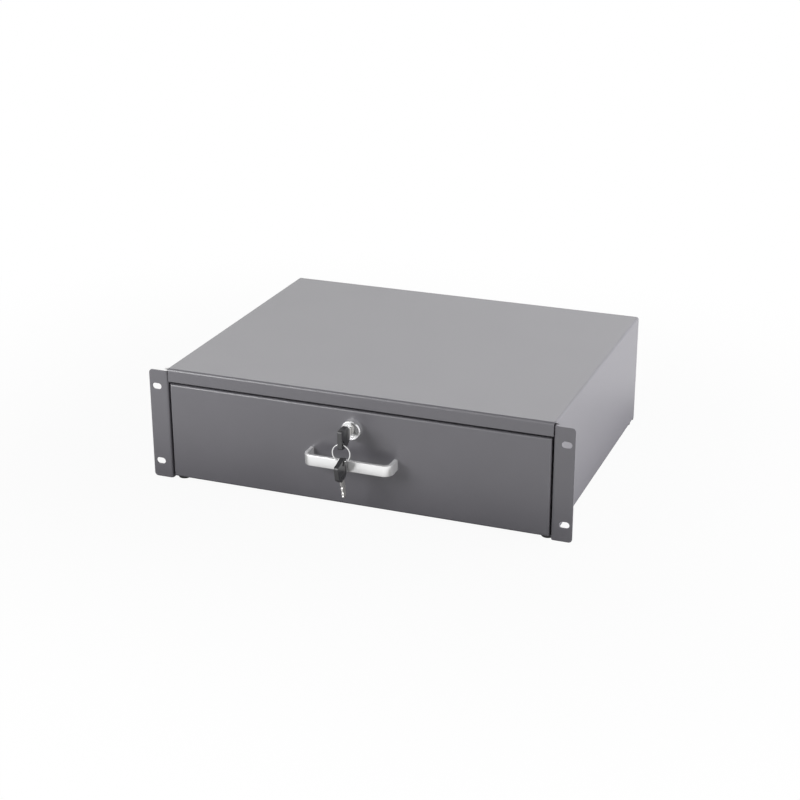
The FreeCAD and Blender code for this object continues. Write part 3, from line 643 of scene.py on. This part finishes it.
# %% [markdown]
# ## Rubber feet
#
# A push-in foot is one rubber moulding: a pad with a rounded rim below the flange, a waist through its
# hole and a barbed cap above. The real one is pulled through by a tail that is then cut off.

# %% Feet
pad, waist, cap = 0.007, 0.0025, 0.0034
foot_sides = 40
foot_rings = [
    (0, 0.0058), (0.0002, 0.0064), (0.0007, 0.0069), (0.0013, pad), (0.0024, pad), (0.0029, 0.0067),
    (0.003, 0.0060), (0.003, waist), (0.0045, waist), (0.0045, cap), (0.0048, 0.0033),
    (0.0051, 0.0029), (0.0053, 0.0020),
]
mesh = bmesh.new()
for low, high in solids_in("rubber_feet"):
    foot = Vector(((low.x + high.x) / 2, (low.y + high.y) / 2, low.z))
    skin(mesh, [(height, circle(wide)) for height, wide in foot_rings], foot_sides, foot, (0, 0, 1))
feet = stand_in("moulded_feet", mesh, "rubber_feet", rubber)
print(feet.name, len(feet.data.polygons), "faces")

# %% [markdown]
# ## The handle and the ring
#
# Both are bars that follow a line. The handle is a flat bar with rounded corners, bent twice. The ring
# is flattened spring wire wound twice, so its two coils lie side by side and cross over at one place.
# For each, a small outline is carried along the line: every station says where it is, which way is
# across the bar and which way is up it.

# %% Carrying an outline along a line
def rounded_outline(width, height, radius, steps=4):
    """A rectangle with round corners, as (across, up) points."""
    points = []
    for i, (sx, sy) in enumerate(((1, 1), (-1, 1), (-1, -1), (1, -1))):
        middle = (sx * (width / 2 - radius), sy * (height / 2 - radius))
        for j in range(steps + 1):
            turn = math.pi / 2 * (i + j / steps)
            points.append((middle[0] + radius * math.cos(turn), middle[1] + radius * math.sin(turn)))
    return points


def carry(mesh, stations, outline):
    """Skins an outline along stations of (place, across, up) and closes both ends."""
    rings = []
    for place, across, up in stations:
        rings.append([mesh.verts.new(place + across * a + up * u) for a, u in outline])
    count = len(outline)
    for low, high in zip(rings, rings[1:]):
        for i in range(count):
            k = (i + 1) % count
            mesh.faces.new((low[i], low[k], high[k], high[i]))
    mesh.faces.new(list(reversed(rings[0])))
    mesh.faces.new(rings[-1])


# %% Handle
low, high = (Vector(corner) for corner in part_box("handle"))
bar = 0.0045
outer_bend = 0.010
bar_corner = 0.0009
bend = outer_bend - bar / 2
leg_x = high.x - bar / 2
front_y = low.y + bar / 2
height = (low.z + high.z) / 2
bend_steps = 12
up = Vector((0, 0, 1))
stations = [(Vector((-leg_x, high.y, height)), Vector((-1, 0, 0)), up)]
for middle_x, first in ((-leg_x + bend, math.pi), (leg_x - bend, 1.5 * math.pi)):
    for i in range(bend_steps + 1):
        turn = first + math.pi / 2 * i / bend_steps
        across = Vector((math.cos(turn), math.sin(turn), 0))
        stations.append((Vector((middle_x, front_y + bend, height)) + across * bend, across, up))
stations.append((Vector((leg_x, high.y, height)), Vector((1, 0, 0)), up))
mesh = bmesh.new()
carry(mesh, stations, rounded_outline(bar, high.z - low.z, bar_corner))
handle = stand_in("bent_bar_handle", mesh, "handle", handle_metal)
print(handle.name, "stands", round((high.y - low.y) * 1000, 1), "mm off the drawer's front")

# %% Split ring
low, high = (Vector(corner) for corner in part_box("key_ring"))
middle = (low + high) / 2
strip_width, strip_thickness = 0.0012, 0.00056
strip_corner = 0.0002
coil_gap = 0.00002
ring_start = -math.pi / 3
mid_radius = (high.x - low.x) / 2 - strip_width / 2
coil_steps = 72
cross_over = 0.12
stations = []
for i in range(2 * coil_steps + 1):
    wound = i / coil_steps
    turn = 2 * math.pi * wound + ring_start
    slid = min(max((wound - 1 + cross_over) / (2 * cross_over), 0), 1)
    slide = (3 - 2 * slid) * slid * slid - 0.5
    across = Vector((math.sin(turn), 0, math.cos(turn)))
    place = middle + across * mid_radius + Vector((0, slide * (strip_thickness + coil_gap), 0))
    stations.append((place, across, Vector((0, 1, 0))))
mesh = bmesh.new()
carry(mesh, stations, rounded_outline(strip_width, strip_thickness, strip_corner, steps=3))
ring = stand_in("split_ring", mesh, "key_ring", ring_wire)
print(ring.name, len(ring.data.polygons), "faces")

# %% [markdown]
# ## The studio
#
# The drawer stands on a white sweep. The eye sees plain white, with a soft shadow that fades away from
# the object. Gloss sees the same white, but near the object a shade is painted into the floor's glow,
# and high up the studio is dark: these two make the front and the side grow darker downwards, and
# draw the fine dark and light lines along the folds.

# %% World
def which_ray(wire):
    """Two masks: rays straight from the eye, and rays that a gloss or a glass sends on."""
    eye = wire.node("LightPath", output="Is Camera Ray")
    mirrored = wire.node("LightPath", output="Is Glossy Ray")
    through = wire.node("LightPath", output="Is Transmission Ray")
    return eye, wire.sum("MAXIMUM", mirrored, through) * (1 - eye)


def fade(wire, value, start, end, first, last):
    settings = {"interpolation_type": "SMOOTHSTEP"}
    sockets = {"Value": value, "From Min": start, "From Max": end, "To Min": first, "To Max": last}
    return wire.node("MapRange", settings, sockets)


sweep_end, dark_start = 0.6, 0.8


def light_world(fill, dark):
    world = bpy.data.worlds.new("white_sweep")
    world.use_nodes = True
    world.node_tree.nodes.clear()
    wire = Wire(world.node_tree)
    eye, gloss = which_ray(wire)
    upward = wire.node("TexCoord", output="Generated")
    height = wire.node("SeparateXYZ", None, {"Vector": upward}, output="Z")
    sweep = fade(wire, height, sweep_end, dark_start, 1.0, dark)
    strength = eye + gloss * sweep + (1 - eye - gloss) * fill
    glow = wire.node("Background", None, {"Color": (1, 1, 1, 1), "Strength": strength})
    wire.node("OutputWorld", None, {"Surface": glow})
    bpy.context.scene.world = world


light_world(fill=0.11, dark=0.08)
print("the sweep ends and the dark begins at", sweep_end, "to", dark_start, "of straight up")

# %% [markdown]
# ## The floor
#
# The floor is one large plane under the feet. How far a point of it lies from the drawer's own
# rectangle drives two fades: a wide faint one mixes a matt grey into what the eye sees, which then
# takes the real shadow, and a short strong one is a painted shade, which darkens the floor's glow as
# gloss sees it near the drawer.

# %% Floor
floor_z = cad_box[0][2]
floor_size = 12.0
shadow_reach = 0.6
# gloss_reach and shade_shift set how far the painted shade in the floor's glow reaches and how far it is
# moved sideways
gloss_reach = 0.18
shade_shift = -0.04
ear_reach = 0.02
floor_grey = 0.42


def lay_floor(shadow_share, shade_share):
    material, wire = start_finish("floor_white")
    here = wire.node("TexCoord", output="Object")
    across = wire.node("SeparateXYZ", None, {"Vector": here}, output="X")
    back = wire.node("SeparateXYZ", None, {"Vector": here}, output="Y")
    half_width = cad_box[1][0] - ear_reach
    half_depth = cad_box[1][1] / 2
    off_middle = wire.sum("ABSOLUTE", across - shade_shift, 0)
    past_side = wire.sum("MAXIMUM", off_middle - half_width, 0)
    past_end = wire.sum("MAXIMUM", wire.sum("ABSOLUTE", back - half_depth, 0) - half_depth, 0)
    away = wire.sum("SQRT", past_side * past_side + past_end * past_end, 0)
    eye, gloss = which_ray(wire)
    near = fade(wire, away, 0, shadow_reach, shadow_share, 0)
    # painted shade: what gloss sees of the floor is darkened near the drawer, standing in for its shade
    shade = fade(wire, away, 0, gloss_reach, shade_share, 0)
    matt = wire.node("BsdfDiffuse", None, {"Color": (floor_grey, floor_grey, floor_grey, 1)})
    white = wire.node("Emission", None, {"Color": (1, 1, 1, 1), "Strength": 1 - gloss * shade})
    mixed = wire.node("MixShader", None, {0: eye * (1 - near) + gloss, 1: matt, 2: white})
    wire.node("OutputMaterial", None, {"Surface": mixed})
    s = floor_size
    corners = [(-s, -s, floor_z), (s, -s, floor_z), (s, s, floor_z), (-s, s, floor_z)]
    mesh = bpy.data.meshes.new("floor")
    mesh.from_pydata(corners, [], [(0, 1, 2, 3)])
    mesh.materials.append(material)
    floor = bpy.data.objects.new("floor", mesh)
    bpy.context.scene.collection.objects.link(floor)


# shade_share is how dark the painted shade in the floor's glow is right next to the drawer
lay_floor(shadow_share=0.055, shade_share=0.95)
print("floor at", round(floor_z * 1000, 1), "mm")

# %% [markdown]
# ## The lamps
#
# Four soft boxes do the lighting: one high in front, a small one low at the left, one behind that the
# top mirrors, and a large one at the right. The last one gives no highlight, because bright zinc and
# glancing paint would burn out in it. A box's power follows from how bright its face is, so a box can
# be made larger without making the light harder.

# %% Lamps
lamps = {
    "front_high": {"place": (-0.5, -1.0, 1.9), "aim": (0, 0, 0), "size": (1.6, 1.6), "glow": 0.55},
    "front_left": {
        "place": (-0.75, -0.8, 0.5), "aim": (-0.15, 0, 0), "size": (0.6, 0.5), "glow": 9.0,
    },
    "behind": {"place": (-1.1, 2.6, 1.7), "aim": (0, 0, 0), "size": (3.2, 1.5), "glow": 1.35},
    "right": {
        "place": (1.45, 0.5, 0.5), "aim": (0.22, 0.15, 0), "size": (2.6, 1.1), "glow": 6.3,
    },
}
no_highlight = {"right"}

for name, box in lamps.items():
    lamp = bpy.data.lights.new(name, "AREA")
    lamp.shape = "RECTANGLE"
    lamp.size, lamp.size_y = box["size"]
    lamp.energy = box["glow"] * math.pi * lamp.size * lamp.size_y
    holder = bpy.data.objects.new(name, lamp)
    holder.location = box["place"]
    towards = Vector(box["aim"]) - Vector(box["place"])
    holder.rotation_euler = towards.to_track_quat("-Z", "Y").to_euler()
    holder.visible_camera = False
    holder.visible_glossy = name not in no_highlight
    bpy.context.scene.collection.objects.link(holder)
    print(name, "gives", round(lamp.energy), "W")
